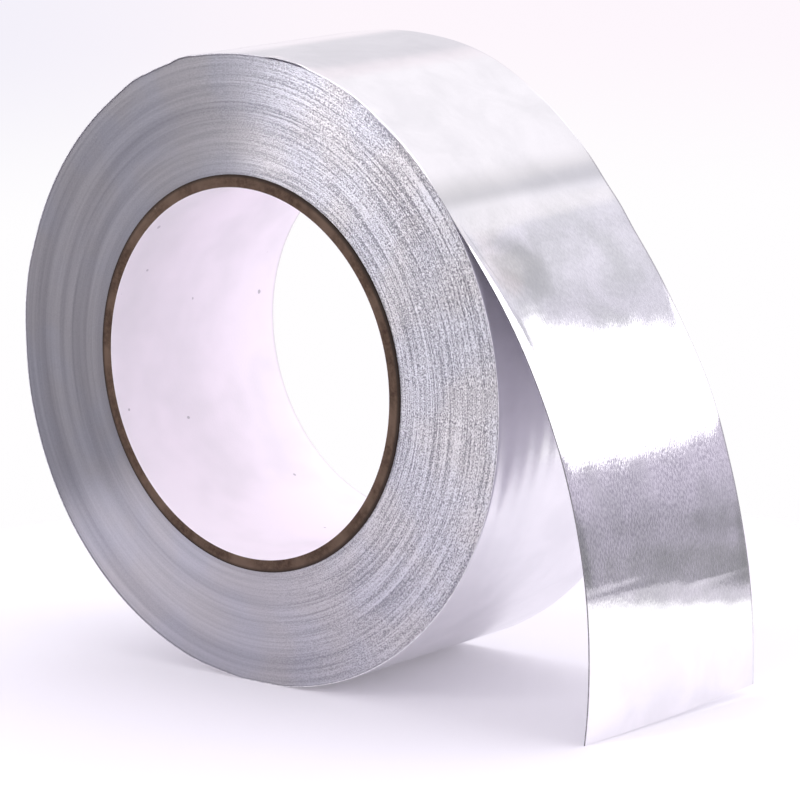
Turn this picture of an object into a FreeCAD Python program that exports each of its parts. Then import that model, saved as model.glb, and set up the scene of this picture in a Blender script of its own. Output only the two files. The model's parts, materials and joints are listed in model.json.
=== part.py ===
"""Roll of aluminium foil tape on a paperboard core.

The roll stands on its rim and the free end of the tape hangs from its right side down to the
floor. Sizes are in millimetres. The origin is the centre of the core's bore, +Y runs along the
bore and +Z points up. The end of the roll that faces -Y is called the front.
"""
import FreeCAD, Part
import math
import os
import Sketcher

SIZES = {
    "core_bore_diameter": 76.0,
    "core_wall": 2.67,
    "core_length": 50.0,
    "tape_length": 50000.0,
    "tape_thickness": 0.16,
    "tape_width": 49.0,
    "winding_shift_x": 0.85,
    "winding_shift_z": 0.28,
    "departure_angle": 37.0,
    "tail_straight": 16.5,
    "tail_bend_front": 117.4,
    "tail_bend_back": 133.0,
    "tail_lift_front": 0.0,
    "tail_lift_back": 2.2,
    "rest_flat_width": 12.5,
    "ridge_count": 10,
    "ridge_depth": 0.15,
    "ridge_recess": 0.05,
    "rim_width": 1.0,
}

# Relations between the sizes, in the document's expression language.
CORE_RADIUS = "(Sizes.core_bore_diameter / 2 + Sizes.core_wall)"
ROLL_RADIUS = f"sqrt({CORE_RADIUS} ^ 2 + Sizes.tape_length * Sizes.tape_thickness / pi)"
LAST_TURN_RADIUS = f"({ROLL_RADIUS} - Sizes.tape_thickness / 2)"
DEPARTURE = "(Sizes.departure_angle * 1deg)"
LAST_TURN_HEIGHT = f"(Sizes.winding_shift_z - Sizes.tape_thickness / 2 * sin({DEPARTURE}))"
FLOOR_DROP = f"(sqrt({LAST_TURN_RADIUS} ^ 2 - (Sizes.rest_flat_width / 2) ^ 2) - {LAST_TURN_HEIGHT})"
WINDING_SHIFT = "sqrt(Sizes.winding_shift_x ^ 2 + Sizes.winding_shift_z ^ 2)"
RIDGED_RADIUS = f"({ROLL_RADIUS} - {WINDING_SHIFT} - Sizes.rim_width)"
RIDGE_PITCH = f"(({RIDGED_RADIUS} - {CORE_RADIUS}) / Sizes.ridge_count)"

# Sketcher's names for the points of an edge, and for the origin and the sketch's own axes.
START, END, CENTRE = 1, 2, 3
ORIGIN = (-1, START)


def vector(x, y):
    return FreeCAD.Vector(x, y, 0)


def make_sheet(document):
    """The driving dimensions, one named cell each."""
    sheet = document.addObject("Spreadsheet::Sheet", "Sizes")
    for row, (name, size) in enumerate(SIZES.items(), start=1):
        sheet.set(f"A{row}", str(size))
        sheet.setAlias(f"A{row}", name)
    document.recompute()
    return sheet


def make_body(document, label):
    body = document.addObject("PartDesign::Body", label)
    body.Label = label
    return body


def plane_of(body, role):
    for feature in body.Origin.OriginFeatures:
        if feature.Role == role:
            return feature
    raise LookupError(role)


def make_sketch(body, name, role):
    sketch = body.newObject("Sketcher::SketchObject", name)
    sketch.AttachmentSupport = [(plane_of(body, role), "")]
    sketch.MapMode = "FlatFace"
    return sketch


def constrain(sketch, kind, *picks):
    return sketch.addConstraint(Sketcher.Constraint(kind, *picks))


def dimension(sketch, kind, name, expression, *picks):
    """A named driving dimension, tied to the sheet."""
    size = float(sketch.Document.Sizes.evalExpression(expression))
    if kind == "Angle":
        size = math.radians(size)
    index = sketch.addConstraint(Sketcher.Constraint(kind, *picks, size))
    sketch.renameConstraint(index, name)
    if kind == "Angle":
        expression = f"{expression} * 1deg"
    sketch.setExpression(f"Constraints.{name}", expression)


def add_circle(sketch, name, radius_expression):
    """A circle about the origin."""
    circle = sketch.addGeometry(Part.Circle(vector(0, 0), FreeCAD.Vector(0, 0, 1), 1.0))
    constrain(sketch, "Coincident", circle, CENTRE, *ORIGIN)
    dimension(sketch, "Radius", name, radius_expression, circle)


def make_core(document):
    """The paperboard tube: a ring, extruded both ways from its middle."""
    body = make_body(document, "paperboard_core")
    sketch = make_sketch(body, "CoreSection", "XZ_Plane")
    add_circle(sketch, "bore", "Sizes.core_bore_diameter / 2")
    add_circle(sketch, "outside", CORE_RADIUS)
    pad = body.newObject("PartDesign::Pad", "CoreTube")
    pad.Profile = sketch
    pad.Midplane = True
    pad.setExpression("Length", "Sizes.core_length")
    return body


def draw_strip(body, name, side, bend, lift):
    """The edge of the whole strip, as seen from one end of the roll.

    The last turn is two half circles whose centres lie half a thickness apart on the ray at the
    departure angle, so it closes up one thickness inside where it began. There the strip leaves
    along the tangent, runs straight, and bends down with one radius to its cut end.
    """
    sketch = make_sketch(body, name, "XZ_Plane")
    sketch.setExpression(".AttachmentOffset.Base.z", f"{side} * Sizes.tape_width / 2")

    evaluate = body.Document.Sizes.evalExpression
    radius = evaluate(ROLL_RADIUS)
    thickness = evaluate("Sizes.tape_thickness")
    straight = evaluate("Sizes.tail_straight")
    bend_radius = evaluate(bend)
    end_height = evaluate(f"{lift} - {FLOOR_DROP}")
    angle = math.radians(evaluate("Sizes.departure_angle"))
    ray = vector(math.cos(angle), math.sin(angle))
    along = vector(math.sin(angle), -math.cos(angle))
    centre = vector(evaluate("Sizes.winding_shift_x"), evaluate("Sizes.winding_shift_z"))
    last_centre = centre - ray * (thickness / 2)
    outer_start = centre + ray * radius
    inner_start = outer_start - ray * thickness
    bend_centre = outer_start + along * straight - ray * bend_radius
    end_angle = math.asin((end_height - bend_centre.y) / bend_radius)
    end_ray = vector(math.cos(end_angle), math.sin(end_angle))
    outer_end = bend_centre + end_ray * bend_radius
    inner_end = outer_end - end_ray * thickness

    def arc(middle, size, start, stop):
        circle = Part.Circle(middle, FreeCAD.Vector(0, 0, 1), size)
        return sketch.addGeometry(Part.ArcOfCircle(circle, start, stop))

    def line(start, stop, construction=False):
        return sketch.addGeometry(Part.LineSegment(start, stop), construction)

    first_half = arc(centre, radius, angle, angle + math.pi)
    second_half = arc(last_centre, radius - thickness / 2, angle + math.pi, angle + 2 * math.pi)
    inner_line = line(inner_start, inner_start + along * straight)
    inner_arc = arc(bend_centre, bend_radius - thickness, end_angle, angle)
    cut_end = line(inner_end, outer_end)
    outer_arc = arc(bend_centre, bend_radius, end_angle, angle)
    outer_line = line(outer_start + along * straight, outer_start)
    departure = line(centre, outer_start, construction=True)

    constrain(sketch, "Tangent", first_half, END, second_half, START)
    constrain(sketch, "Coincident", second_half, END, inner_line, START)
    constrain(sketch, "Coincident", inner_line, END, inner_arc, END)
    constrain(sketch, "Coincident", inner_arc, START, cut_end, START)
    constrain(sketch, "Coincident", cut_end, END, outer_arc, START)
    constrain(sketch, "Tangent", outer_arc, END, outer_line, START)
    constrain(sketch, "Tangent", outer_line, END, first_half, START)
    constrain(sketch, "Coincident", departure, START, first_half, CENTRE)
    constrain(sketch, "Coincident", departure, END, first_half, START)
    constrain(sketch, "PointOnObject", second_half, START, departure)
    constrain(sketch, "PointOnObject", inner_line, START, departure)
    constrain(sketch, "Parallel", inner_line, outer_line)
    constrain(sketch, "Equal", inner_line, outer_line)
    constrain(sketch, "Coincident", inner_arc, CENTRE, outer_arc, CENTRE)
    constrain(sketch, "PointOnObject", outer_arc, CENTRE, cut_end)

    dimension(sketch, "DistanceX", "shift_x", "Sizes.winding_shift_x", *ORIGIN, first_half, CENTRE)
    dimension(sketch, "DistanceY", "shift_z", "Sizes.winding_shift_z", *ORIGIN, first_half, CENTRE)
    dimension(sketch, "Radius", "roll", ROLL_RADIUS, first_half)
    dimension(sketch, "Angle", "leaves_at", "Sizes.departure_angle", departure)
    dimension(sketch, "Distance", "thickness", "Sizes.tape_thickness", outer_line, END, inner_line, START)
    dimension(sketch, "Distance", "straight", "Sizes.tail_straight", outer_line)
    dimension(sketch, "Radius", "bend", bend, outer_arc)
    dimension(sketch, "DistanceY", "end_drop", f"{FLOOR_DROP} - {lift}", outer_arc, START, *ORIGIN)
    return sketch


def draw_ridges(body):
    """A zigzag beside the front end face, from the core outwards: one valley and crest per ridge.

    It closes round the outside of the face and inside the bore, so only the zigzag cuts. The last
    slope runs on through the end face, which leaves the outermost turns as a flat rim.
    """
    sketch = make_sketch(body, "RidgeProfile", "YZ_Plane")
    evaluate = body.Document.Sizes.evalExpression
    count = int(evaluate("Sizes.ridge_count"))
    half_pitch = evaluate(RIDGE_PITCH) / 2
    depth = evaluate("Sizes.ridge_depth")
    crest = evaluate("Sizes.ridge_recess - Sizes.tape_width / 2")
    outside = crest - depth
    bore = evaluate("Sizes.core_bore_diameter / 2")
    first = evaluate(CORE_RADIUS)

    def line(start_x, start_y, end_x, end_y):
        return sketch.addGeometry(Part.LineSegment(vector(start_x, start_y), vector(end_x, end_y)))

    slopes_in = []
    slopes_out = []
    for ridge in range(count):
        low = first + 2 * ridge * half_pitch
        valley = low + half_pitch
        slopes_in.append(line(crest, low, crest + depth, valley))
        if ridge < count - 1:
            slopes_out.append(line(crest + depth, valley, crest, valley + half_pitch))
    top = valley + 2 * half_pitch
    runs_out = line(crest + depth, valley, outside, top)
    side = line(outside, top, outside, bore)
    bottom = line(outside, bore, crest, bore)
    lip = line(crest, bore, crest, first)

    zigzag = [slopes_in[0]]
    for slope_out, slope_in in zip(slopes_out, slopes_in[1:]):
        zigzag += [slope_out, slope_in]
    outline = zigzag + [runs_out, side, bottom, lip]
    for edge, following in zip(outline, outline[1:] + outline[:1]):
        constrain(sketch, "Coincident", edge, END, following, START)
    for slopes in (slopes_in, slopes_out):
        for slope in slopes[1:]:
            constrain(sketch, "Parallel", slopes[0], slope)
            constrain(sketch, "Equal", slopes[0], slope)
    constrain(sketch, "Parallel", slopes_out[0], runs_out)
    constrain(sketch, "Vertical", side)
    constrain(sketch, "Horizontal", bottom)
    constrain(sketch, "Vertical", lip)

    start = (slopes_in[0], START)
    turn = (slopes_in[0], END)
    back = (slopes_out[0], END)
    half_width = "Sizes.tape_width / 2 - Sizes.ridge_recess"
    dimension(sketch, "DistanceX", "crests", half_width, *start, *ORIGIN)
    dimension(sketch, "DistanceY", "first_ridge", CORE_RADIUS, *ORIGIN, *start)
    dimension(sketch, "DistanceX", "depth_in", "Sizes.ridge_depth", *start, *turn)
    dimension(sketch, "DistanceY", "pitch_in", f"{RIDGE_PITCH} / 2", *start, *turn)
    dimension(sketch, "DistanceX", "depth_out", "Sizes.ridge_depth", *back, *turn)
    dimension(sketch, "DistanceY", "pitch_out", f"{RIDGE_PITCH} / 2", *turn, *back)
    dimension(sketch, "Distance", "beyond", "Sizes.ridge_depth", bottom)
    dimension(sketch, "DistanceY", "bore", "Sizes.core_bore_diameter / 2", *ORIGIN, bottom, START)
    return sketch


def draw_floor(body):
    """The slice below the floor, as wide on each side of the roll as the flat spot itself."""
    sketch = make_sketch(body, "FloorSlice", "XZ_Plane")
    evaluate = body.Document.Sizes.evalExpression
    middle = evaluate("Sizes.winding_shift_x")
    reach = evaluate("Sizes.rest_flat_width")
    top = -evaluate(FLOOR_DROP)
    low = top - evaluate("Sizes.core_wall")
    corners = [
        vector(middle - reach, top),
        vector(middle + reach, top),
        vector(middle + reach, low),
        vector(middle - reach, low),
    ]
    edges = [
        sketch.addGeometry(Part.LineSegment(corner, following))
        for corner, following in zip(corners, corners[1:] + corners[:1])
    ]
    for edge, following in zip(edges, edges[1:] + edges[:1]):
        constrain(sketch, "Coincident", edge, END, following, START)
    for edge in edges[0::2]:
        constrain(sketch, "Horizontal", edge)
    for edge in edges[1::2]:
        constrain(sketch, "Vertical", edge)
    left_reach = "Sizes.rest_flat_width - Sizes.winding_shift_x"
    dimension(sketch, "DistanceY", "floor", FLOOR_DROP, edges[0], START, *ORIGIN)
    dimension(sketch, "DistanceX", "left", left_reach, edges[0], START, *ORIGIN)
    dimension(sketch, "Distance", "slice_width", "2 * Sizes.rest_flat_width", edges[0])
    dimension(sketch, "Distance", "slice_height", "Sizes.core_wall", edges[1])
    return sketch


def pocket_through(body, name, sketch):
    pocket = body.newObject("PartDesign::Pocket", name)
    pocket.Profile = sketch
    pocket.Midplane = True
    pocket.Type = "ThroughAll"
    return pocket


def make_tape(document):
    """The wound strip and its free end, as one solid."""
    body = make_body(document, "foil_tape")
    front = draw_strip(body, "StripFront", 1, "Sizes.tail_bend_front", "Sizes.tail_lift_front")
    back = draw_strip(body, "StripBack", -1, "Sizes.tail_bend_back", "Sizes.tail_lift_back")
    strip = body.newObject("PartDesign::AdditiveLoft", "Strip")
    strip.Profile = front
    strip.Sections = [back]
    strip.Ruled = True

    hole = make_sketch(body, "CoreSeat", "XZ_Plane")
    add_circle(hole, "seat", CORE_RADIUS)
    pocket_through(body, "CoreHole", hole)

    ridges = body.newObject("PartDesign::Groove", "Ridges")
    ridges.Profile = draw_ridges(body)
    ridges.ReferenceAxis = (ridges.Profile[0], ["H_Axis"])
    ridges.Angle = 360
    mirror = body.newObject("PartDesign::Mirrored", "RidgesBothEnds")
    mirror.Originals = [ridges]
    mirror.MirrorPlane = (plane_of(body, "XZ_Plane"), [""])
    body.Tip = mirror

    pocket_through(body, "FlatSpot", draw_floor(body))
    return body


def check(document, bodies):
    """Stops the build if any feature failed, cut nothing or left a broken solid."""
    for item in document.Objects:
        if "Invalid" in item.State or "Error" in item.State:
            raise RuntimeError(f"{item.Label} failed: {item.State}")
        if item.isDerivedFrom("Sketcher::SketchObject") and item.solve() != 0:
            raise RuntimeError(f"{item.Label} is over-constrained")
    for body in bodies:
        if body.Shape.isNull() or not body.Shape.isValid() or len(body.Shape.Solids) != 1:
            raise RuntimeError(f"{body.Label} is not one sound solid")
        cuts = [item for item in body.Group if item.TypeId in CUTTING_FEATURES]
        for cut in cuts:
            if cut.Shape.Volume >= cut.BaseFeature.Shape.Volume:
                raise RuntimeError(f"{cut.Label} cuts nothing")


CUTTING_FEATURES = ("PartDesign::Pocket", "PartDesign::Groove", "PartDesign::Mirrored")


def main():
    document = FreeCAD.newDocument("foil_tape_roll")
    make_sheet(document)
    bodies = [make_core(document), make_tape(document)]
    document.recompute()
    check(document, bodies)
    os.makedirs("parts", exist_ok=True)
    for body in bodies:
        body.Shape.exportStep(f"parts/{body.Label}.step")


main()
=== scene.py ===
import json
import math
import bpy
import numpy as np
from mathutils import Matrix, Vector


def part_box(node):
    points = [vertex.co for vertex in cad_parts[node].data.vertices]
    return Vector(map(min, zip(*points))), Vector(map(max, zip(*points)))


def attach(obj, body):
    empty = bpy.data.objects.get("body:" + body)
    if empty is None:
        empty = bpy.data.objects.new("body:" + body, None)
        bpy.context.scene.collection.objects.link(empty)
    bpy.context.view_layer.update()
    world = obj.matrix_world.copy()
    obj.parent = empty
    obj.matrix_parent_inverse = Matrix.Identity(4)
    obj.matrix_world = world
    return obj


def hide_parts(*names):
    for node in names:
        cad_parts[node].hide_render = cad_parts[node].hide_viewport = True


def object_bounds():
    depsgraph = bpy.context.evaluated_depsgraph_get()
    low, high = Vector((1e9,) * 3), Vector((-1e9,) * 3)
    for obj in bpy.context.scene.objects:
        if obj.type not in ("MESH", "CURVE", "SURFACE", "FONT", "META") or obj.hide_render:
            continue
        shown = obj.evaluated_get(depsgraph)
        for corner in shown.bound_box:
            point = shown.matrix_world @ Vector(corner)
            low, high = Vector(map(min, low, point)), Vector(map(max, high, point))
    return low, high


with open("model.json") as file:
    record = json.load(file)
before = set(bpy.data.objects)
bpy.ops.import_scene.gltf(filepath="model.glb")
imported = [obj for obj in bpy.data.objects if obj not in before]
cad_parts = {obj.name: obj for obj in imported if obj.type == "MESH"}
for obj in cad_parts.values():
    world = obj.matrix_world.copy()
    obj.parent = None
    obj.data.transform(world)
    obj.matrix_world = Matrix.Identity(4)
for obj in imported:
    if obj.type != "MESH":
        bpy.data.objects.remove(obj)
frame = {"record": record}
CAD_LOW, CAD_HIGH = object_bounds()

MM = 0.001

# ---------------------------------------------------------------- sizes of the roll, in metres
MOUNTS = {mount["name"]: mount for mount in frame["record"]["mounts"]}
FLOOR = CAD_LOW[2]
BORE_RADIUS = MOUNTS["core_bore"]["dims"]["r_mm"] * MM
CORE_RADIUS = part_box("paperboard_core")[1][0]
CORE_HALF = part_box("paperboard_core")[1][1]
TAPE_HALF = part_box("foil_tape")[1][1]
TAPE_THICKNESS = 0.16 * MM
TAPE_LENGTH = 50.0
ROLL_RADIUS = math.sqrt(CORE_RADIUS ** 2 + TAPE_LENGTH * TAPE_THICKNESS / math.pi)
ROLL_CENTRE = np.array((0.85, 0.28)) * MM
DEPARTURE = math.radians(37.0)
TAIL_STRAIGHT = 16.5 * MM
TAIL_BEND_FRONT = 117.4 * MM
TAIL_BEND_BACK = 133.0 * MM
TAIL_LIFT_BACK = 2.2 * MM
INSIDE_CAD = 0.01 * MM

# How finely the pieces are divided.
TURN_STEPS = 250
FREE_STEPS = 330
FINE_STEPS = FREE_STEPS // 3
STRAIGHT_STEPS = FREE_STEPS // 8
ARC_STEPS = FREE_STEPS - STRAIGHT_STEPS - FINE_STEPS
ACROSS_STEPS = 60
BODY_STEPS = 360
RING_STEPS = 46
CORE_STEPS = 256

# Before the departure the strip is divided finely over this angle; the last coarse row keeps
# this far from it.
FINE_ANGLE = math.radians(66)
FINE_GAP = 0.01

# ---------------------------------------------------------------- camera and light
VIEW_AZIMUTH = math.radians(40.93)
VIEW_ELEVATION = math.radians(10.883)
VIEW_ROLL = math.radians(-1.763)
VIEW_DISTANCE = 0.840
VIEW_SHIFT_RIGHT = 5.2 * MM
VIEW_SHIFT_DOWN = 8.3 * MM
LENS = 185.0
SENSOR_WIDTH = 36.0
SIGHT_REACH = 20.0

# The floor: its reach, then its rim and where it has faded out and is still whole, as shares of
# that reach, and the share of it that is its own white.
FLOOR_REACH = 0.16
FLOOR_RIM = 1.15
FLOOR_FADED = 1.08
FLOOR_WHOLE = 0.94
FLOOR_CORNERS = 96
FLOOR_COLOUR = (0.95, 0.93, 0.985)
FLOOR_OWN_LIGHT = 0.12
FLOOR_OWN_COLOUR = (1.0, 0.97, 1.0)

# The background's colours, and the degrees of elevation and azimuth over which they change.
BACKGROUND_LOW = (1.0, 0.99, 1.0)
BACKGROUND_HIGH = (0.99, 0.925, 0.98)
BACKGROUND_LEFT = (0.90, 0.875, 0.955)
LOW_TO_HIGH = (-8.5, -5.5)
MIDDLE_TO_LEFT = (-41, -47)

# The lamps and cards seen from the roll: name, middle azimuth and half width (degrees round +Z
# from +Y towards +X), lowest and highest elevation, softness of the edges, and colour. A later
# one stands in front of an earlier one.
STUDIO = (
    ("dim_front", 180, 92, -90, 48, 12, (0.66, 0.64, 0.69)),
    ("overhead_box", 0, 100, 50, 120, 7, (2.0, 1.95, 2.05)),
    ("bright_wall_back", 0, 29, 30, 48, 3, (1.01, 0.98, 1.03)),
    ("window_back", -3, 10, 20, 36, 3, (1.3, 1.27, 1.34)),
    ("shade_back_left", -41, 13, 6, 27, 4, (0.80, 0.775, 0.83)),
    ("grey_wall_right", 44, 27, 20, 34.7, 1.1, (0.86, 0.845, 0.925)),
    ("grey_wall_low", 44, 27, 20, 29.5, 2.5, (0.735, 0.72, 0.80)),
    ("far_floor_right", 45, 62, -90, -8.6, 0.4, (1.25, 1.23, 1.27)),
    ("skirting_right", 45, 62, -8.6, 10.6, 0.4, (0.59, 0.555, 0.655)),
    ("skirting_top_right", 45, 62, 5.5, 10.6, 2.2, (0.70, 0.655, 0.775)),
    ("dark_gap_right", 14, 29.0, -2.0, 2.4, 1.2, (0.35, 0.34, 0.38)),
    ("dark_gap_low", 14, 30.6, -7.2, -1.5, 0.9, (0.34, 0.335, 0.36)),
    ("skirting_foot", 45, 62, -8.6, -6.5, 0.8, (0.78, 0.75, 0.83)),
    ("pale_gap", 8, 15, -8.6, 10.6, 2, (0.88, 0.85, 0.91)),
    ("strip_light_right", 45, 48, 10.6, 25.0, 0.7, (2.5, 2.44, 2.56)),
    ("strip_light_tip", 66, 32, 24.0, 27.0, 1.5, (2.5, 2.44, 2.56)),
    ("strip_light_end", 66, 30, 24.0, 30.8, 1.5, (2.5, 2.44, 2.56)),
    ("dark_flag_left", -88, 31, -60, 42, 7, (0.31, 0.30, 0.345)),
    ("dark_floor_left", -123, 23, -70, -12, 6, (0.285, 0.275, 0.315)),
    ("key_light_front", -157, 6.5, 8, 42, 3.5, (8.2, 7.95, 8.2)),
    ("key_glow_front", -169, 16, -26, -13, 4, (4.2, 4.07, 4.2)),
)


def make_camera():
    """A long lens, turned by azimuth round +Z from the front, then by elevation and roll."""
    away = Vector((
        math.sin(VIEW_AZIMUTH) * math.cos(VIEW_ELEVATION),
        -math.cos(VIEW_AZIMUTH) * math.cos(VIEW_ELEVATION),
        math.sin(VIEW_ELEVATION),
    ))
    level = Vector((0, 0, 1)).cross(away).normalized()
    upright = away.cross(level)
    right = level * math.cos(VIEW_ROLL) + upright * math.sin(VIEW_ROLL)
    up = away.cross(right)
    middle = (Vector(CAD_LOW) + Vector(CAD_HIGH)) / 2
    aim = middle + right * VIEW_SHIFT_RIGHT - up * VIEW_SHIFT_DOWN
    camera = bpy.data.objects.new("camera", bpy.data.cameras.new("camera"))
    camera.data.lens = LENS
    camera.data.sensor_width = SENSOR_WIDTH
    camera.data.clip_end = SIGHT_REACH
    turn = Matrix((right, up, away)).transposed().to_4x4()
    camera.matrix_world = Matrix.Translation(aim + away * VIEW_DISTANCE) @ turn
    bpy.context.collection.objects.link(camera)
    bpy.context.scene.camera = camera


# ---------------------------------------------------------------- node helpers
def put(tree, kind, values=(), **settings):
    """A new node: settings are its own properties, values are (socket, value or link) pairs."""
    node = tree.nodes.new(kind)
    for name, value in settings.items():
        setattr(node, name, value)
    for socket, value in values:
        if isinstance(value, bpy.types.NodeSocket):
            tree.links.new(value, node.inputs[socket])
        else:
            node.inputs[socket].default_value = value
    return node


def sums(tree, operation, first, second=0.0, third=0.0):
    """One Math node."""
    pairs = ((0, first), (1, second), (2, third))
    return put(tree, "ShaderNodeMath", pairs, operation=operation).outputs[0]


def vectors(tree, operation, first, second=(0, 0, 0)):
    """One Vector Math node that gives a vector."""
    return put(tree, "ShaderNodeVectorMath", ((0, first), (1, second)), operation=operation).outputs[0]


def length(tree, vector):
    """How long a vector is."""
    return put(tree, "ShaderNodeVectorMath", ((0, vector),), operation="LENGTH").outputs["Value"]


def rise(tree, value, low, high):
    """0 below low, 1 above high and a smooth step between."""
    pairs = ((0, value), (1, low), (2, high))
    return put(tree, "ShaderNodeMapRange", pairs, interpolation_type="SMOOTHSTEP").outputs[0]


def blend(tree, mask, first, second):
    """A colour mix by mask."""
    pairs = ((0, mask), (6, first), (7, second))
    return put(tree, "ShaderNodeMix", pairs, data_type="RGBA").outputs[2]


def noise(tree, place, scale, detail=2.0, roughness=0.5, distortion=0.0):
    """A noise texture's value, about 0.5."""
    pairs = (
        ("Vector", place),
        ("Scale", scale),
        ("Detail", detail),
        ("Roughness", roughness),
        ("Distortion", distortion),
    )
    return put(tree, "ShaderNodeTexNoise", pairs).outputs["Fac"]


def new_group(name, inputs, outputs):
    """A node group with (name, socket kind, default) inputs and (name, socket kind) outputs."""
    group = bpy.data.node_groups.new(name, "ShaderNodeTree")
    for label, kind, default in inputs:
        socket = group.interface.new_socket(label, in_out="INPUT", socket_type=kind)
        socket.default_value = default
    for label, kind in outputs:
        group.interface.new_socket(label, in_out="OUTPUT", socket_type=kind)
    start = group.nodes.new("NodeGroupInput")
    end = group.nodes.new("NodeGroupOutput")
    return group, start, end


def use_group(tree, group, values):
    """One use of a node group, with (socket, value or link) pairs."""
    return put(tree, "ShaderNodeGroup", values, node_tree=group)


def new_material(name):
    """An empty material with its output, and its Principled shader."""
    material = bpy.data.materials.new(name)
    material.use_nodes = True
    tree = material.node_tree
    return material, tree, tree.nodes["Principled BSDF"]


# ---------------------------------------------------------------- studio
def make_world():
    """The studio as brightness by direction.

    The pale background is one and the same for the camera, for metal and for the light. The
    lamps and dark cards stand in front of it, and only the camera does not see them.
    """
    world = bpy.data.worlds.new("studio")
    world.use_nodes = True
    tree = world.node_tree
    direction = put(tree, "ShaderNodeTexCoord").outputs["Generated"]
    split = put(tree, "ShaderNodeSeparateXYZ", ((0, direction),))
    height = sums(tree, "ARCSINE", split.outputs[2])
    elevation = sums(tree, "MULTIPLY", height, math.degrees(1))
    turn = sums(tree, "ARCTAN2", split.outputs[0], split.outputs[1])
    azimuth = sums(tree, "MULTIPLY", turn, math.degrees(1))
    raised = rise(tree, elevation, *LOW_TO_HIGH)
    left = rise(tree, azimuth, *MIDDLE_TO_LEFT)
    upper = blend(tree, left, (*BACKGROUND_HIGH, 1), (*BACKGROUND_LEFT, 1))
    backdrop = blend(tree, raised, (*BACKGROUND_LOW, 1), upper)
    colour = backdrop
    for _, middle, half, low, high, soft, tint in STUDIO:
        apart = sums(tree, "SUBTRACT", azimuth, middle)
        wrapped = sums(tree, "WRAP", apart, 180, -180)
        across = sums(tree, "ABSOLUTE", wrapped)
        inside = rise(tree, across, half + soft, half - soft)
        above = rise(tree, elevation, low - soft, low + soft)
        below = rise(tree, elevation, high + soft, high - soft)
        mask = sums(tree, "MULTIPLY", sums(tree, "MULTIPLY", above, below), inside)
        colour = blend(tree, mask, colour, (*tint, 1))
    paths = put(tree, "ShaderNodeLightPath")
    shown = blend(tree, paths.outputs["Is Camera Ray"], colour, backdrop)
    tree.links.new(shown, tree.nodes["Background"].inputs["Color"])
    bpy.context.scene.world = world


def make_floor():
    """A plain pale disc of one colour that fades out at its edge into the background.

    A small even share of it is its own white, for the camera and for metal alike.
    """
    turn = np.linspace(0, 2 * math.pi, FLOOR_CORNERS + 1)[:-1]
    ring = np.stack([np.cos(turn), np.sin(turn), np.zeros_like(turn)], axis=1)
    ring = ring * FLOOR_REACH * FLOOR_RIM
    ring[:, 2] = FLOOR
    mesh = bpy.data.meshes.new("floor")
    mesh.from_pydata(ring.tolist(), [], [tuple(range(len(turn)))])
    floor = bpy.data.objects.new("floor", mesh)
    bpy.context.collection.objects.link(floor)
    material, tree, shader = new_material("floor")
    shader.inputs["Base Color"].default_value = (*FLOOR_COLOUR, 1)
    shader.inputs["Roughness"].default_value = 0.75
    shader.inputs["Specular IOR Level"].default_value = 0.1
    place = put(tree, "ShaderNodeTexCoord").outputs["Object"]
    reach = length(tree, place)
    solid = rise(tree, reach, FLOOR_REACH * FLOOR_FADED, FLOOR_REACH * FLOOR_WHOLE)
    tree.links.new(solid, shader.inputs["Alpha"])
    paths = put(tree, "ShaderNodeLightPath")
    seen = sums(tree, "MAXIMUM", paths.outputs["Is Camera Ray"], paths.outputs["Is Glossy Ray"])
    part = sums(tree, "MULTIPLY", sums(tree, "MULTIPLY", seen, FLOOR_OWN_LIGHT), solid)
    glow = put(tree, "ShaderNodeEmission")
    glow.inputs["Color"].default_value = (*FLOOR_OWN_COLOUR, 1)
    both = put(tree, "ShaderNodeMixShader", ((0, part), (1, shader.outputs[0]), (2, glow.outputs[0])))
    tree.links.new(both.outputs[0], tree.nodes["Material Output"].inputs["Surface"])
    mesh.materials.append(material)


# ---------------------------------------------------------------- shape of the strip
def window(value, low, high, soft):
    """0 outside low to high and 1 inside, with a smooth step of width soft at both ends."""
    up = np.clip((value - low) / soft + 0.5, 0, 1)
    down = np.clip((high - value) / soft + 0.5, 0, 1)
    return up * up * (3 - 2 * up) * down * down * (3 - 2 * down)


def bell(value, middle, reach):
    """1 at middle, falling off evenly on both sides: e to the minus square of value over reach."""
    return np.exp(-(((value - middle) / reach) ** 2))


def waves(first, second, size, seed):
    """A smooth uneven surface, about -1 to 1: a sum of eight sine waves of random direction."""
    chance = np.random.default_rng(seed)
    total = np.zeros(np.broadcast(first, second).shape)
    for _ in range(8):
        turn = chance.uniform(0, math.pi)
        stretch = chance.uniform(0.7, 1.6) * size
        phase = chance.uniform(0, 2 * math.pi)
        total += np.sin(2 * math.pi * (first * np.cos(turn) + second * np.sin(turn)) / stretch + phase)
    return total / 4


def out_of_round(angle, radius):
    """How far the outer turns stand off a true circle, as wide and narrow smooth steps.

    Where the roll's greatest width or height leaves little room, the step is held back softly.
    """
    degrees = np.degrees(angle) % 360
    total = np.zeros_like(degrees)
    for low, high, soft, height in UNROUND:
        total += height * window(degrees, low, high, soft)
    beside = (ROLL_CENTRE[0] - CAD_LOW[0]) / np.maximum(-np.cos(angle), 0.05)
    above = (CAD_HIGH[2] - ROLL_CENTRE[1]) / np.maximum(np.sin(angle), 0.05)
    room = np.maximum(np.minimum(beside, above) - radius - 2 * INSIDE_CAD, 0)
    return total * room / (room + total + INSIDE_CAD)


# First and last angle in degrees, softness and height of each place where the roll is not round.
UNROUND = (
    (62, 78, 12, 0.40 * MM),
    (97, 122, 6, 0.22 * MM),
    (101.5, 106.0, 2.5, 0.55 * MM),
    (114.5, 119.0, 3, 0.22 * MM),
    (163, 256, 10, 0.36 * MM),
    (205, 247, 30, 0.30 * MM),
)


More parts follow.
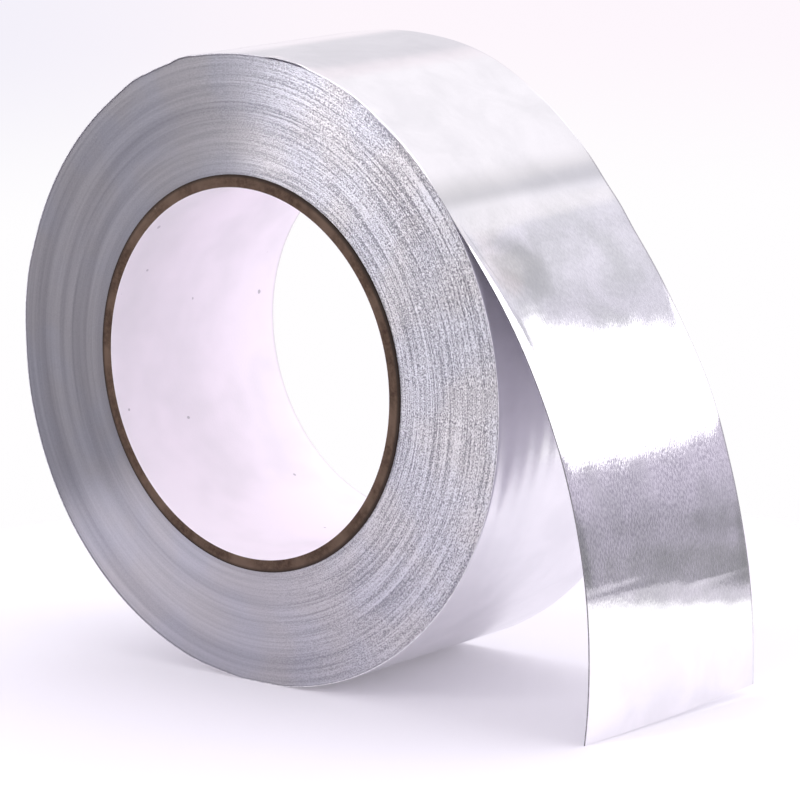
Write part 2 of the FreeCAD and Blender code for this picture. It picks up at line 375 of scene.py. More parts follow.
def turn_outline(back, inset):
    """Outline of a turn: a spiral that shrinks by one thickness over a full turn.

    back is the angle gone back from the departure, inset the distance in from the outside. The
    outline is pressed flat where the roll stands. Returns x and z.
    """
    angle = DEPARTURE + back
    radius = ROLL_RADIUS - INSIDE_CAD - TAPE_THICKNESS * back / (2 * math.pi) - inset
    radius = radius + out_of_round(angle, radius + inset)
    x = ROLL_CENTRE[0] + radius * np.cos(angle)
    z = ROLL_CENTRE[1] + radius * np.sin(angle)
    return x, np.maximum(z, FLOOR + inset)


def tail_edge(share, bend, lift, inset):
    """One long edge of the tail: a straight tangent, then an arc down to the floor plus lift.

    share runs from 0 at the departure to 1 where the arc starts and 2 at the cut end. Returns x
    and z, and the angle that the outside faces.
    """
    ray = np.array((math.cos(DEPARTURE), math.sin(DEPARTURE)))
    along = np.array((math.sin(DEPARTURE), -math.cos(DEPARTURE)))
    outside = ROLL_RADIUS - INSIDE_CAD
    centre = ROLL_CENTRE + ray * (outside - bend) + along * TAIL_STRAIGHT
    last = math.asin((FLOOR + lift - centre[1]) / bend)
    bent = np.clip(share - 1, 0, 1)
    angle = DEPARTURE + (last - DEPARTURE) * bent
    facing = np.stack([np.cos(angle), np.sin(angle)], axis=1)
    back = np.clip(share - 1, -1, 0)[:, None] * TAIL_STRAIGHT
    return centre + (bend - inset) * facing + along * back, angle


def strip_lift(along, across):
    """How far the free strip stands off its plain shape, outwards.

    along is the distance from the departure, across the distance from the front edge. Round the
    roll both edges are rounded over, and the front edge has come loose in two places on top. On
    the tail the front edge curls up, most just after the departure, where a crease runs in from
    the edge, and the back edge curls down. A soft fold crosses the strip where it was peeled up,
    its front corner bulges, and the tail is gently uneven, with a few creases straight across
    near the floor. The turn under the tail is fluted.
    """
    tail = np.clip(along / (6 * MM), 0, 1)
    held = np.clip(-along / (8 * MM), 0, 1)
    from_edge = np.minimum(across, 2 * TAPE_HALF - across)
    rounding = np.clip(1 - from_edge / ROUNDED_WIDTH, 0, 1) ** 2
    total = -ROUNDING * rounding * held
    for low, high, soft, lifted, reach in LOOSE_EDGE:
        total = total + lifted * window(along, low, high, soft) * np.exp(-((across / reach) ** 1.5))

    lip_slope = np.tan(LIP_ANGLE) * window(along, 10 * MM, 112 * MM, 10 * MM)
    curl = lip_slope * np.clip(LIP_WIDTH - across, 0, None) ** 2 / (2 * LIP_WIDTH)
    crease = CREASE_DEPTH_IN * np.clip((along - CREASE_START) / CREASE_RUN, 0, 1)
    loosening = window(along, 10 * MM, 200 * MM, 7 * MM) * window(along, -200 * MM, 42 * MM, 28 * MM)
    crease_slope = np.tan(CREASE_ANGLE) * loosening
    beyond = crease - across
    curl = curl + crease_slope * (beyond + np.hypot(beyond, CREASE_ROUNDING)) / 2
    near_edge = np.clip(1 - across / (30 * MM), 0, 1) ** 2
    curl = curl - tail * curl[:, :1] * near_edge
    line = window(along, 5 * MM, 24 * MM, 4 * MM) * bell(across, crease, 0.35 * MM)
    back_lip = np.clip(LIP_WIDTH - (2 * TAPE_HALF - across), 0, None) ** 2 / (2 * LIP_WIDTH)
    total = total + curl - CREASE_LINE * line - 0.5 * lip_slope * back_lip

    inwards = 1 - bell(np.clip(across - 0.6 * crease, 0, None), 0, 7.5 * MM)
    front_part = inwards * np.clip(1 - across / (32 * MM), 0, 1) ** 1.5
    back_part = np.clip(across / (2 * TAPE_HALF), 0, 1) ** 3
    for (where, reach, height), part in (
        (FOLD, inwards),
        (CORNER_BULGE, front_part),
        (BACK_SWELL, back_part),
        (PILLOW, front_part),
    ):
        total = total + height * part * bell(along, where, reach)
    uneven = WIDE_WAVES * waves(along, across, 26 * MM, 3)
    uneven = uneven + SMALL_WAVES * waves(along, across, 9 * MM, 5)
    total = total + uneven * np.clip(along / (14 * MM), 0, 1)
    creases = 0
    for where, lean, low, high, deep in CROSS_CREASES:
        gap = along - where - lean * (across - TAPE_HALF)
        part = window(across, low, high, 8 * MM)
        creases = creases + deep * part * bell(gap, 0, CROSS_CREASE_REACH)
    under = window(along, -2, -310 * MM, 40 * MM)
    flutes = WIDE_FLUTES * waves(across, along * 0.10, 5.5 * MM, 11)
    flutes = flutes + FINE_FLUTES * waves(across, along * 0.05, 1.8 * MM, 12)
    return total + creases + flutes * under


# The rounded edges round the roll, and the curled lips of the tail.
ROUNDING = 0.07 * MM
ROUNDED_WIDTH = 0.4 * MM
LIP_WIDTH = 2.4 * MM
LIP_ANGLE = np.radians(5)

# The crease beside the front edge where the strip was peeled up: how far in it runs, where along
# it starts and over what length, its slope and rounding, and how deep its line is.
CREASE_DEPTH_IN = 3.0 * MM
CREASE_START = 6 * MM
CREASE_RUN = 20 * MM
CREASE_ANGLE = np.radians(6)
CREASE_ROUNDING = 0.3 * MM
CREASE_LINE = 0.03 * MM

# The tail's soft bends: place along, reach and height.
FOLD = (8.7 * MM, 4.2 * MM, 0.26 * MM)
CORNER_BULGE = (23 * MM, 9 * MM, 0.75 * MM)
BACK_SWELL = (50 * MM, 11 * MM, 0.50 * MM)
PILLOW = (68 * MM, 8 * MM, 0.11 * MM)

# Heights of the tail's unevenness and of the flutes on the turn under it.
WIDE_WAVES = 0.030 * MM
SMALL_WAVES = 0.009 * MM
WIDE_FLUTES = 0.045 * MM
FINE_FLUTES = 0.006 * MM

# How steeply the tail's foot sags between its corners, along and across.
FOOT_POWER = 5
FOOT_SAG = 1.7

# Where the front edge is loose on the roll: first and last place along, softness, height, reach.
LOOSE_EDGE = (
    (-52.5 * MM, -42.5 * MM, 4 * MM, 0.36 * MM, 2.2 * MM),
    (-31 * MM, -22 * MM, 5 * MM, 0.14 * MM, 2.0 * MM),
)

# Creases across the tail near the floor: place along, slant, first and last place across, height.
CROSS_CREASES = (
    (86.0 * MM, 0.02, 29 * MM, 60 * MM, 0.026 * MM),
    (82.5 * MM, 0.02, -10 * MM, 18 * MM, -0.018 * MM),
    (84.5 * MM, 0.08, -10 * MM, 34 * MM, 0.009 * MM),
)
CROSS_CREASE_REACH = 0.8 * MM


def strip_sheet(inset):
    """The free strip as a grid of points, and the distances along and across of each.

    It starts one full turn back, runs round the roll, leaves it and comes down to the floor. The
    tail is ruled straight across between its front and back edges; its cut end touches the floor
    in front and rises towards the back.
    """
    back = 2 * math.pi * (1 - np.linspace(0, 1, TURN_STEPS + 1))
    near = np.linspace(1, 0, FINE_STEPS + 1) * FINE_ANGLE
    back = np.concatenate([back[back > FINE_ANGLE + FINE_GAP], near])
    x, z = turn_outline(back, inset)
    share = np.concatenate([
        np.linspace(0, 1, STRAIGHT_STEPS + 1)[1:],
        np.linspace(1, 2, ARC_STEPS + 1)[1:],
    ])
    front, facing_front = tail_edge(share, TAIL_BEND_FRONT, 0.0, inset)
    rear, facing_rear = tail_edge(share, TAIL_BEND_BACK, TAIL_LIFT_BACK, inset)
    line_front = np.concatenate([np.stack([x, z], axis=1), front])
    line_rear = np.concatenate([np.stack([x, z], axis=1), rear])
    angle_front = np.concatenate([DEPARTURE + back, facing_front])
    angle_rear = np.concatenate([DEPARTURE + back, facing_rear])

    part = (1 - np.cos(np.linspace(0, math.pi, ACROSS_STEPS + 1))) / 2
    across = 2 * TAPE_HALF * part
    line = line_front[:, None] * (1 - part)[None, :, None] + line_rear[:, None] * part[None, :, None]
    angle = angle_front[:, None] * (1 - part) + angle_rear[:, None] * part
    step = np.linalg.norm(np.diff((line_front + line_rear) / 2, axis=0), axis=1)
    along = np.concatenate([[0], np.cumsum(step)])
    along = (along - along[len(back) - 1])[:, None]

    lift = strip_lift(along, across[None])
    x = line[..., 0] + lift * np.cos(angle)
    z = line[..., 1] + lift * np.sin(angle)
    foot = np.clip(along / along[-1], 0, 1) ** FOOT_POWER
    z = z - foot * TAIL_LIFT_BACK * (part - part ** FOOT_SAG)[None]
    y = np.broadcast_to(across - TAPE_HALF, x.shape)
    z = np.clip(z, FLOOR, CAD_HIGH[2] - INSIDE_CAD - inset)
    grid = np.stack([x, y, z], axis=2)
    return grid, np.broadcast_to(along, x.shape), np.broadcast_to(across[None], x.shape)


def grid_faces(ids):
    """Quads between neighbouring rows and columns of an array of vertex numbers."""
    return np.stack([ids[:-1, :-1], ids[1:, :-1], ids[1:, 1:], ids[:-1, 1:]], axis=-1).reshape(-1, 4)


def number(blocks):
    """Vertex numbers for several grids of points that are stored one after another."""
    sizes = [block.shape[0] * block.shape[1] for block in blocks]
    starts = np.cumsum([0] + sizes)
    return [
        np.arange(size).reshape(block.shape[:2]) + start
        for block, size, start in zip(blocks, sizes, starts)
    ]


def make_piece(name, blocks, faces, materials, uv=None):
    """A mesh from grids of points and (quads, material number) lists, riding on the root."""
    positions = np.concatenate([block.reshape(-1, 3) for block in blocks])
    quads = np.concatenate([group for group, _ in faces])
    slots = np.concatenate([np.full(len(group), slot) for group, slot in faces])
    mesh = bpy.data.meshes.new(name)
    mesh.from_pydata(positions.tolist(), [], quads.tolist())
    mesh.polygons.foreach_set("material_index", slots.astype(np.int32))
    mesh.polygons.foreach_set("use_smooth", np.ones(len(quads), dtype=bool))
    if uv is not None:
        corners = np.empty(len(mesh.loops), dtype=np.int32)
        mesh.loops.foreach_get("vertex_index", corners)
        layer = mesh.uv_layers.new(name="strip")
        layer.data.foreach_set("uv", uv[corners].astype(np.float32).ravel())
    for material in materials:
        mesh.materials.append(material)
    mesh.set_sharp_from_angle(angle=math.radians(40))
    piece = bpy.data.objects.new(name, mesh)
    bpy.context.collection.objects.link(piece)
    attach(piece, "root")
    return piece


def make_free_strip(materials):
    """The last turn and the tail: an outer and an under sheet, closed along all four edges."""
    outer, along, across = strip_sheet(0.0)
    under, _, _ = strip_sheet(TAPE_THICKNESS)
    top, low = number([outer, under])
    foil, liner, cut = range(3)
    faces = [
        (grid_faces(top), foil),
        (grid_faces(low)[:, ::-1], liner),
        (grid_faces(np.stack([top[:, 0], low[:, 0]])), cut),
        (grid_faces(np.stack([low[:, -1], top[:, -1]])), cut),
        (grid_faces(np.stack([low[0], top[0]])), cut),
        (grid_faces(np.stack([top[-1], low[-1]])), cut),
    ]
    uv = np.stack([across, along], axis=2).reshape(-1, 2)
    return make_piece("free_strip", [outer, under], faces, materials, np.concatenate([uv, uv]))


# The rings on each end of the wound turns, as shares of the way out to the rim: the last plain
# one and those of the rim; then their depths, how far a ring's depth wavers round the roll, and
# the width of foil beside the rim.
LAST_PLAIN_RING = 0.985
RIM_RINGS = (0.993, 1.0)
DEEPEST_RING_IN_MM = 0.06
RIM_DEPTHS = (0.03 * MM, 0.05 * MM, 0.16 * MM)
RING_WAVER = 0.4
FOIL_BESIDE_RIM = 0.5 * MM
CORE_ROUNDING = 0.12 * MM


def end_rings(outline, side):
    """One end of the wound turns: rings from the core's circle out to the rounded rim.

    Each ring's depth is a smooth random value, deepest 0.06 mm, and the outermost turns lie a
    little deeper still. The last ring lies on the outside. side is -1 in front, 1 at the back.
    """
    angle = np.arctan2(outline[:, 1], outline[:, 0])
    inner = np.stack([np.cos(angle), np.sin(angle)], axis=1) * CORE_RADIUS
    rim = outline * (1 - ROUNDING / ROLL_RADIUS)
    share = np.append(np.linspace(0, LAST_PLAIN_RING, RING_STEPS), RIM_RINGS)
    flat = inner[None] + (rim - inner)[None] * share[:, None, None]
    chance = np.random.default_rng(7)
    depth = chance.uniform(0, DEEPEST_RING_IN_MM, len(share)) * MM
    depth[-len(RIM_DEPTHS):] = RIM_DEPTHS
    waver = RING_WAVER * np.sin(3 * angle + side)[None] * np.cos(np.arange(len(share)))[:, None]
    depth = depth[:, None] * (1 + waver)
    depth = np.concatenate([depth, np.full((1, len(angle)), FOIL_BESIDE_RIM)])
    flat = np.concatenate([flat, outline[None]])
    return np.stack([flat[..., 0], side * (TAPE_HALF - depth), flat[..., 1]], axis=2)


def make_wound_turns(materials):
    """All turns below the last: ringed ends, a plain outside and the wall of the hole."""
    back = np.linspace(0, 2 * math.pi, BODY_STEPS + 1)[:-1]
    x, z = turn_outline(back, TAPE_THICKNESS)
    outline = np.stack([x, z], axis=1)
    front = end_rings(outline, -1)
    rear = end_rings(outline, 1)
    front_ids, rear_ids = [np.append(ids, ids[:, :1], axis=1) for ids in number([front, rear])]
    turns, foil = range(2)
    faces = [
        (grid_faces(front_ids[:-1]), turns),
        (grid_faces(rear_ids[:-1])[:, ::-1], turns),
        (grid_faces(front_ids[-2:]), foil),
        (grid_faces(rear_ids[-2:])[:, ::-1], foil),
        (grid_faces(np.stack([front_ids[-1], rear_ids[-1]])), foil),
        (grid_faces(np.stack([rear_ids[0], front_ids[0]])), turns),
    ]
    uv = np.concatenate([front.reshape(-1, 3), rear.reshape(-1, 3)])[:, [1, 0]]
    return make_piece("wound_turns", [front, rear], faces, materials, uv)


def make_core(material):
    """The paperboard tube: a rounded ring profile turned round the bore's axis."""
    ease = CORE_ROUNDING
    corner = np.radians((0, 45, 90))
    profile = []
    for radius, y, first in (
        (CORE_RADIUS - ease, CORE_HALF - ease, 0),
        (BORE_RADIUS + ease, CORE_HALF - ease, 90),
        (BORE_RADIUS + ease, -CORE_HALF + ease, 180),
        (CORE_RADIUS - ease, -CORE_HALF + ease, 270),
    ):
        turn = corner + math.radians(first)
        profile.append(np.stack([radius + ease * np.cos(turn), y + ease * np.sin(turn)], axis=1))
    profile = np.concatenate(profile)
    angle = np.linspace(0, 2 * math.pi, CORE_STEPS + 1)[:-1]
    x = profile[:, :1] * np.cos(angle)
    z = profile[:, :1] * np.sin(angle)
    y = np.broadcast_to(profile[:, 1:], x.shape)
    tube = np.stack([x, y, z], axis=2)
    ids = number([tube])[0]
    ids = np.concatenate([ids, ids[:1]], axis=0)
    ids = np.concatenate([ids, ids[:, :1]], axis=1)
    return make_piece("core_tube", [tube], [(grid_faces(ids), 0)], [material])


# ---------------------------------------------------------------- materials
# The finishes, with painted light and shade among them, each as one colour or as its darkest and
# lightest.
CLEAR_FOIL = ((0.87, 0.865, 0.88, 1), (0.955, 0.945, 0.96, 1))
CLOUDY_FOIL = ((0.80, 0.80, 0.80, 1), (0.98, 0.96, 0.99, 1))
SPECK_GREY = (0.36, 0.34, 0.40, 1)
STREAK_GREY = (0.45, 0.43, 0.47, 1)
PAINTED_SHADE_GREY = (0.17, 0.18, 0.165, 1)
FOIL_EDGE_PAINTED_SHADE = (0.34, 0.33, 0.35, 1)
PAINTED_SHADE_UNDER_TAIL = (0.45, 0.43, 0.50, 1)
PAINTED_SHADE_METAL = ((0.355, 0.35, 0.38, 1), (0.51, 0.505, 0.53, 1))
PAINTED_GLINT_METAL = ((0.22, 0.215, 0.24, 1), (0.745, 0.74, 0.765, 1))
WARM_AND_COOL = ((1.0, 0.985, 0.97, 1), (0.975, 0.985, 1.02, 1))
RELEASE_PAPER = ((0.57, 0.55, 0.62, 1), (0.64, 0.62, 0.69, 1))
CUT_EDGE_PAINTED_HIGHLIGHT = ((0.62, 0.61, 0.64, 1), (0.88, 0.87, 0.90, 1))
CUT_EDGE_PAINTED_SHADE = ((0.07, 0.07, 0.075, 1), (0.20, 0.195, 0.21, 1))
BOARD_BROWN = ((0.050, 0.029, 0.019, 1), (0.110, 0.070, 0.048, 1))
BOARD_BLOTCH = (0.135, 0.090, 0.064, 1)
BOARD_FLECK = (0.24, 0.19, 0.14, 1)
BOARD_OUTSIDE = (0.030, 0.021, 0.016, 1)
LINING_WHITE = ((0.855, 0.815, 0.86, 1), (0.95, 0.89, 0.95, 1))
LINING_PAINTED_SHADE = (0.66, 0.64, 0.66, 1)
LINING_FLECK = (0.55, 0.52, 0.56, 1)
LINING_END = (0.62, 0.61, 0.60, 1)

# The middle of the noise from which the painted glints' dark and bright grains are parted.
PAINTED_GLINT_MIDDLE = 0.49

# Where the foil's finishes and its painted shade begin and end, from faint to full, in distance
# along the strip from the departure.
RUBBED_BEGINS = (50 * MM, 57 * MM)
RUBBED_ENDS = (112 * MM, 62 * MM)
WORN_ENDS = (87 * MM, 81 * MM)
BRUSHED_BEGINS = (0, 14 * MM)
DEPARTURE_SHADE_BEGINS = (-7 * MM, 0)
DEPARTURE_SHADE_ENDS = (3.5 * MM, 0.5 * MM)
FLUTED_BEGINS = (-250 * MM, -300 * MM)

# The patch of painted shade where the strip was peeled up: its middle and radii across and along.
SHADE_PATCH_MIDDLE = (10 * MM, 17 * MM, 0)
SHADE_PATCH_RADII = (8 * MM, 8 * MM, 1)


def radius_about_bore(tree, place):
    """Distance from the bore's axis."""
    return length(tree, vectors(tree, "MULTIPLY", place, (1, 0, 1)))


def worn_masks(tree, place, across, along):
    """Where the foil is rubbed and brushed, the line of painted shade across the departure, and the
    fluted turn under the tail.
    """
    patches = noise(tree, vectors(tree, "MULTIPLY", place, (110, 60, 0)), 1.0, 3, 0.6)
    begins = rise(tree, along, *RUBBED_BEGINS)
    slanted = sums(tree, "MULTIPLY_ADD", across, 0.45, along)
    ends = rise(tree, slanted, *RUBBED_ENDS)
    rubbed = sums(tree, "MULTIPLY", sums(tree, "MULTIPLY", begins, ends), rise(tree, patches, 0.2, 0.55))
    lower = sums(tree, "MULTIPLY_ADD", across, -0.2, along)
    lower = rise(tree, lower, *WORN_ENDS)
    rubbed = sums(tree, "MULTIPLY", rubbed, lower)
    brushed = sums(tree, "MULTIPLY", rise(tree, along, *BRUSHED_BEGINS), lower)
    # Painted shade: a darker line across the strip where it leaves the roll.
    peeled = rise(tree, along, *DEPARTURE_SHADE_BEGINS)
    peeled = sums(tree, "MULTIPLY", peeled, rise(tree, along, *DEPARTURE_SHADE_ENDS))
    fluted = rise(tree, along, *FLUTED_BEGINS)
    return rubbed, brushed, peeled, fluted


def foil_colour(tree, place, across, along, masks, fine, hairs):
    """The foil's clouds, with grey specks and streaks where it is worn, and a patch and a line of
    painted shade near the departure.
    """
    rubbed, brushed, peeled, _ = masks
    clouds = noise(tree, place, 75, 4, 0.6, 0.4)
    clear = blend(tree, rise(tree, clouds, 0.3, 0.7), *CLEAR_FOIL)
    cloudy = blend(tree, rise(tree, clouds, 0.35, 0.65), *CLOUDY_FOIL)
    colour = blend(tree, brushed, clear, cloudy)
    specks = rise(tree, fine, 0.60, 0.38)
    sideways = rise(tree, across, 8 * MM, 24 * MM)
    most = sums(tree, "MULTIPLY_ADD", sideways, 0.22, 0.38)
    calmer = rise(tree, along, 69 * MM, 79 * MM)
    calmer = sums(tree, "MULTIPLY_ADD", sums(tree, "MULTIPLY", calmer, sideways), -0.55, 1)
    strength = sums(tree, "MULTIPLY", sums(tree, "MULTIPLY", rubbed, most), calmer)
    strength = sums(tree, "MULTIPLY_ADD", brushed, 0.14, strength)
    colour = blend(tree, sums(tree, "MULTIPLY", specks, strength), colour, SPECK_GREY)
    streaks = sums(tree, "MULTIPLY", brushed, rise(tree, hairs, 0.65, 0.35))
    colour = blend(tree, sums(tree, "MULTIPLY", streaks, 0.10), colour, STREAK_GREY)
    # Painted shade: a darker patch beside the crease, joined by the line across the departure.
    painted_shade_patch = vectors(tree, "SUBTRACT", place, SHADE_PATCH_MIDDLE)
    painted_shade_patch = length(tree, vectors(tree, "DIVIDE", painted_shade_patch, SHADE_PATCH_RADII))
    painted_shade_patch = rise(tree, sums(tree, "ADD", painted_shade_patch, sums(tree, "MULTIPLY", clouds, 1.2)), 1.9, 0.9)
    painted_shade_patch = sums(tree, "MULTIPLY_ADD", painted_shade_patch, 0.34, sums(tree, "MULTIPLY", peeled, 0.28))
    return blend(tree, painted_shade_patch, colour, PAINTED_SHADE_GREY)


def edge_and_crease_shade_mask(tree, across, along):
    """Painted shade along the strip's long edges past the departure, and along the fine crease beside
    the front one.
    """
    loose = rise(tree, along, -12 * MM, 0)
    front_edge = rise(tree, across, 0.30 * MM, 0.12 * MM)
    front_edge = sums(tree, "MULTIPLY", front_edge, rise(tree, along, 15 * MM, 55 * MM))
    back_edge = rise(tree, across, 2 * TAPE_HALF - 0.55 * MM, 2 * TAPE_HALF - 0.25 * MM)
    fades = rise(tree, along, 108 * MM, 84 * MM)
    back_edge = sums(tree, "MULTIPLY", back_edge, sums(tree, "MULTIPLY_ADD", fades, 0.6, 0.2))
    edges = sums(tree, "MULTIPLY", sums(tree, "MAXIMUM", front_edge, back_edge), loose)
    crease = sums(tree, "MULTIPLY_ADD", along, -0.16, across)
    crease = sums(tree, "ABSOLUTE", crease)
    crease = rise(tree, crease, 0.34 * MM, 0.10 * MM)
    crease = sums(tree, "MULTIPLY", crease, rise(tree, along, 5 * MM, 10 * MM))
    crease = sums(tree, "MULTIPLY", crease, rise(tree, along, 21 * MM, 15 * MM))
    return sums(tree, "MAXIMUM", edges, sums(tree, "MULTIPLY", crease, 0.28))


def foil_material():
    """Bright rolled foil: cloudy, with fine grain, rubbed and grainy lower on the tail.

    Its edges, and a fine crease beside the front edge where the strip was peeled up, are less
    metallic and darkened by painted shade; a patch of painted shade lies near the crease, and painted
    shade greys the turn under the tail.
    """
    material, tree, shader = new_material("aluminium_foil")
    place = put(tree, "ShaderNodeUVMap", uv_map="strip").outputs[0]
    split = put(tree, "ShaderNodeSeparateXYZ", ((0, place),))
    across, along = split.outputs[:2]
    masks = worn_masks(tree, place, across, along)
    rubbed, brushed, _, fluted = masks

    fine = noise(tree, vectors(tree, "MULTIPLY", place, (3400, 1100, 0)), 1.0, 1, 0.5)
    hairs = noise(tree, vectors(tree, "MULTIPLY", place, (1500, 600, 0)), 1.0, 2, 0.6)
    grain = sums(tree, "MULTIPLY_ADD", hairs, 0.5, fine)
    depth = sums(tree, "MULTIPLY_ADD", brushed, 0.004 * MM, 0.002 * MM)
    depth = sums(tree, "MULTIPLY_ADD", rubbed, 0.009 * MM, depth)
    bump = put(tree, "ShaderNodeBump", (("Strength", 1.0), ("Distance", depth), ("Height", grain)))
    tree.links.new(bump.outputs[0], shader.inputs["Normal"])

    colour = foil_colour(tree, place, across, along, masks, fine, hairs)
    edges = edge_and_crease_shade_mask(tree, across, along)
    # Painted shade along the long edges and the crease; the same mask lowers the metallic.
    colour = blend(tree, edges, colour, FOIL_EDGE_PAINTED_SHADE)
    # Painted shade: the turn under the tail is greyed.
    colour = blend(tree, sums(tree, "MULTIPLY", fluted, 0.13), colour, PAINTED_SHADE_UNDER_TAIL)
    tree.links.new(colour, shader.inputs["Base Color"])
    tree.links.new(sums(tree, "MULTIPLY_ADD", edges, -0.6, 1), shader.inputs["Metallic"])
    roughness = sums(tree, "MULTIPLY_ADD", rubbed, 0.03, 0.08)
    roughness = sums(tree, "MULTIPLY_ADD", fluted, 0.12, roughness)
    tree.links.new(roughness, shader.inputs["Roughness"])
    shader.inputs["Anisotropic"].default_value = 0.5
    tangent = put(tree, "ShaderNodeTangent", direction_type="UV_MAP", uv_map="strip")
    tree.links.new(tangent.outputs[0], shader.inputs["Tangent"])
    return material


def lean_group():
    """Leans the surface's normal outwards from the bore's axis, as the turned-out cut edges do."""
    group, start, end = new_group(
        "outward_lean",
        (("Lean", "NodeSocketFloat", 0.2),),
        (("Normal", "NodeSocketVector"),),
    )
    place = put(group, "ShaderNodeTexCoord").outputs["Object"]
    radial = vectors(group, "NORMALIZE", vectors(group, "MULTIPLY", place, (1, 0, 1)))
    pairs = ((0, radial), ("Scale", start.outputs[0]))
    scaled = put(group, "ShaderNodeVectorMath", pairs, operation="SCALE")
    normal = put(group, "ShaderNodeNewGeometry").outputs["Normal"]
    leaned = vectors(group, "NORMALIZE", vectors(group, "ADD", normal, scaled.outputs[0]))
    group.links.new(leaned, end.inputs[0])
    return group


def turns_material():
    """The cut edges of the turns: circles of matt metal, with painted glints on one side.

    The side towards the tail has deeper bumps, and its colour is painted glints: fine dark grooves
    with bright grains between them. The other side is smoother and painted darker as shade, with a
    few long thin arcs.
    """
    material, tree, shader = new_material("turn_edges")
    place = put(tree, "ShaderNodeTexCoord").outputs["Object"]
    split = put(tree, "ShaderNodeSeparateXYZ", ((0, place),))
    radius = radius_about_bore(tree, place)
    unit = vectors(tree, "NORMALIZE", vectors(tree, "MULTIPLY", place, (1, 0, 1)))
    facing = put(tree, "ShaderNodeSeparateXYZ", ((0, unit),))
    polar = put(tree, "ShaderNodeCombineXYZ", (
        (0, sums(tree, "ADD", radius, sums(tree, "MULTIPLY", split.outputs[1], 0.37))),
        (1, sums(tree, "MULTIPLY", facing.outputs[0], 0.053)),
        (2, sums(tree, "MULTIPLY", facing.outputs[2], 0.053)),
    )).outputs[0]
    grains = noise(tree, vectors(tree, "MULTIPLY", polar, (5200, 3000, 3000)), 1.0, 1, 0.5)
    grooves = noise(tree, vectors(tree, "MULTIPLY", polar, (2500, 40, 40)), 1.0, 1, 0.5)
    arcs = noise(tree, vectors(tree, "MULTIPLY", polar, (900, 14, 14)), 1.0, 2, 0.5)
    rings = noise(tree, vectors(tree, "MULTIPLY", polar, (240, 8, 8)), 1.0, 2, 0.5)
    # Bumpier on the side towards the tail, where the colour is painted glints; the other side is painted
    # shade.
    bumpy_and_glinting = rise(tree, sums(tree, "MULTIPLY_ADD", facing.outputs[2], 0.1, facing.outputs[0]), -0.3, 0.9)
    bumpy_and_glinting = sums(tree, "MULTIPLY_ADD", bumpy_and_glinting, 0.9, 0.1)

    lean = use_group(tree, lean_group(), (("Lean", 0.22),))
    height = sums(tree, "MULTIPLY_ADD", grooves, 0.8, grains)
    bump = put(tree, "ShaderNodeBump", (
        ("Strength", 1.0), ("Distance", sums(tree, "MULTIPLY", bumpy_and_glinting, 0.16 * MM)), ("Height", height),
        ("Normal", lean.outputs[0]),
    ))
    tree.links.new(bump.outputs[0], shader.inputs["Normal"])

    smooth_tone = sums(tree, "MULTIPLY_ADD", rings, 0.5, sums(tree, "MULTIPLY", arcs, 0.5))
    shaded_side_colour = blend(tree, rise(tree, smooth_tone, 0.3, 0.7), *PAINTED_SHADE_METAL)
    glint_tone = sums(tree, "MULTIPLY_ADD", grains, 0.62, sums(tree, "MULTIPLY", grooves, 0.38))
    # The painted glints' contrast changes from top to bottom.
    spread = sums(tree, "MULTIPLY_ADD", facing.outputs[2], -0.035, 0.115)
    lowest = sums(tree, "SUBTRACT", PAINTED_GLINT_MIDDLE, spread)
    highest = sums(tree, "ADD", PAINTED_GLINT_MIDDLE, spread)
    glint_tone = rise(tree, glint_tone, lowest, highest)
    glint_colour = blend(tree, glint_tone, *PAINTED_GLINT_METAL)
    colour = blend(tree, bumpy_and_glinting, shaded_side_colour, glint_colour)
    tinge = rise(tree, noise(tree, place, 55, 2, 0.5), 0.38, 0.62)
    tinge = blend(tree, tinge, *WARM_AND_COOL)
    colour = vectors(tree, "MULTIPLY", colour, tinge)
    tree.links.new(colour, shader.inputs["Base Color"])
    shader.inputs["Metallic"].default_value = 0.85
    shader.inputs["Roughness"].default_value = 0.33
    shader.inputs["Anisotropic"].default_value = 0.6
    shader.inputs["Anisotropic Rotation"].default_value = 0.25
    tangent = put(tree, "ShaderNodeTangent", direction_type="RADIAL", axis="Y")
    tree.links.new(tangent.outputs[0], shader.inputs["Tangent"])
    return material


def liner_material():
    """The release paper on the under side of the tape."""
    material, tree, shader = new_material("release_paper")
    place = put(tree, "ShaderNodeUVMap", uv_map="strip").outputs[0]
    fibres = noise(tree, vectors(tree, "MULTIPLY", place, (900, 500, 0)), 1.0, 3, 0.6)
    colour = blend(tree, rise(tree, fibres, 0.3, 0.7), *RELEASE_PAPER)
    tree.links.new(colour, shader.inputs["Base Color"])
    shader.inputs["Roughness"].default_value = 0.45
    return material


def edge_material():
    """The cut edge of the strip: a painted highlight round the roll, and dark painted shade on the tail.
    """
    material, tree, shader = new_material("strip_edge")
    place = put(tree, "ShaderNodeTexCoord").outputs["Object"]
    nicks = rise(tree, noise(tree, place, 900, 2, 0.6), 0.35, 0.65)
    strip = put(tree, "ShaderNodeUVMap", uv_map="strip").outputs[0]
    along = put(tree, "ShaderNodeSeparateXYZ", ((0, strip),)).outputs[1]
    # Painted highlight round the roll and painted shade on the tail, on one and the same cut edge.
    painted_highlight = blend(tree, nicks, *CUT_EDGE_PAINTED_HIGHLIGHT)
    dark = blend(tree, nicks, *CUT_EDGE_PAINTED_SHADE)
    colour = blend(tree, rise(tree, along, -6 * MM, 12 * MM), painted_highlight, dark)
    tree.links.new(colour, shader.inputs["Base Color"])
    shader.inputs["Metallic"].default_value = 0.35
    shader.inputs["Roughness"].default_value = 0.45
    return material


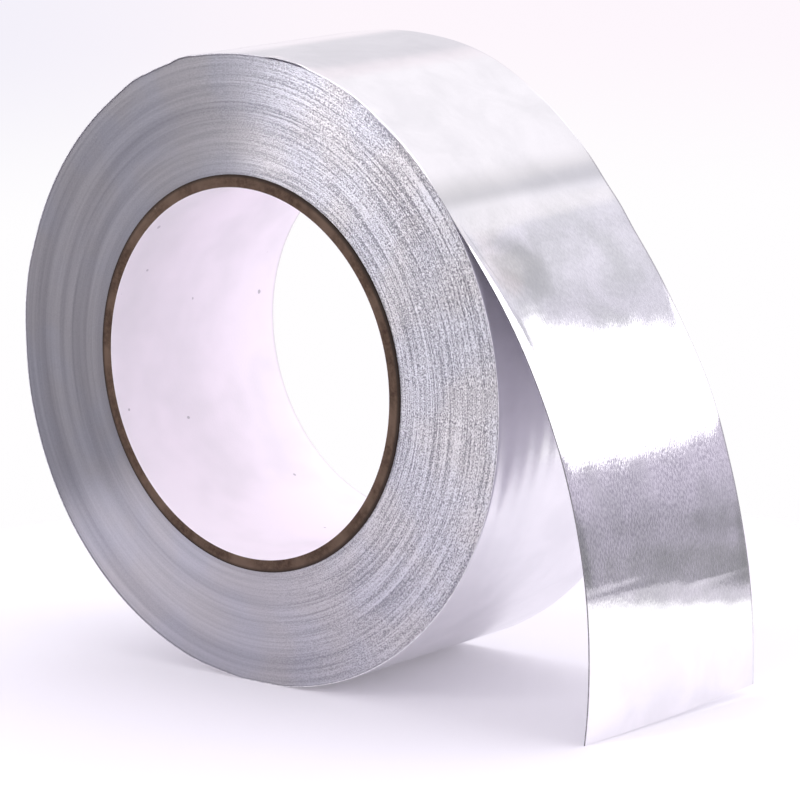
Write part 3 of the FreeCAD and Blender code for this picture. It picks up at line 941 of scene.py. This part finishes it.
def board_material():
    """Brown paperboard on the cut ends, darker towards the outside, with a thin white lining.

    The lining is softly clouded with very few flecks, has painted shade at the top of its front
    half, and is darker along the edge of its far end.
    """
    material, tree, shader = new_material("paperboard")
    place = put(tree, "ShaderNodeTexCoord").outputs["Object"]
    radius = radius_about_bore(tree, place)
    lining = rise(tree, radius, BORE_RADIUS + 0.15 * MM, BORE_RADIUS + 0.08 * MM)
    outside = rise(tree, radius, CORE_RADIUS - 0.90 * MM, CORE_RADIUS - 0.15 * MM)
    split = put(tree, "ShaderNodeSeparateXYZ", ((0, place),))
    far_end = rise(tree, split.outputs[1], CORE_HALF - 0.9 * MM, CORE_HALF)
    # Painted shade: the lining is darkened towards the top of its front half.
    painted_lining_shade = rise(tree, split.outputs[1], 4 * MM, -24 * MM)
    painted_lining_shade = sums(tree, "MULTIPLY", painted_lining_shade, rise(tree, split.outputs[2], -12 * MM, 24 * MM))
    fibres = noise(tree, vectors(tree, "MULTIPLY", place, (1, 3, 1)), 1100, 3, 0.6)
    plies = noise(tree, put(tree, "ShaderNodeCombineXYZ", ((0, radius),)).outputs[0], 3500, 1, 0.5)
    blotches = noise(tree, place, 130, 2, 0.5)
    flecks = rise(tree, noise(tree, place, 480, 0), 0.845, 0.875)
    mottle = sums(tree, "MULTIPLY_ADD", fibres, 0.6, sums(tree, "MULTIPLY", plies, 0.4))
    brown = blend(tree, rise(tree, mottle, 0.35, 0.65), *BOARD_BROWN)
    brown = blend(tree, rise(tree, blotches, 0.4, 0.75), brown, BOARD_BLOTCH)
    brown = blend(tree, flecks, brown, BOARD_FLECK)
    brown = blend(tree, sums(tree, "MULTIPLY", outside, 0.9), brown, BOARD_OUTSIDE)
    clouded = rise(tree, noise(tree, place, 42, 3, 0.55), 0.32, 0.62)
    paper = blend(tree, clouded, *LINING_WHITE)
    paper = blend(tree, sums(tree, "MULTIPLY", painted_lining_shade, 0.5), paper, LINING_PAINTED_SHADE)
    paper = blend(tree, flecks, paper, LINING_FLECK)
    paper = blend(tree, sums(tree, "MULTIPLY", far_end, 0.7), paper, LINING_END)
    tree.links.new(blend(tree, lining, brown, paper), shader.inputs["Base Color"])
    bump = put(tree, "ShaderNodeBump", (("Strength", 0.6), ("Distance", 0.05 * MM), ("Height", fibres)))
    tree.links.new(bump.outputs[0], shader.inputs["Normal"])
    shader.inputs["Roughness"].default_value = 0.8
    shader.inputs["Specular IOR Level"].default_value = 0.2
    return material


# ---------------------------------------------------------------- the scene
make_camera()
make_world()
make_floor()
foil = foil_material()
strip = make_free_strip([foil, liner_material(), edge_material()])
turns = make_wound_turns([turns_material(), foil])
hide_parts("foil_tape")
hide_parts("foil_tape")
core = make_core(board_material())
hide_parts("paperboard_core")
bpy.context.scene.view_settings.view_transform = "Standard"
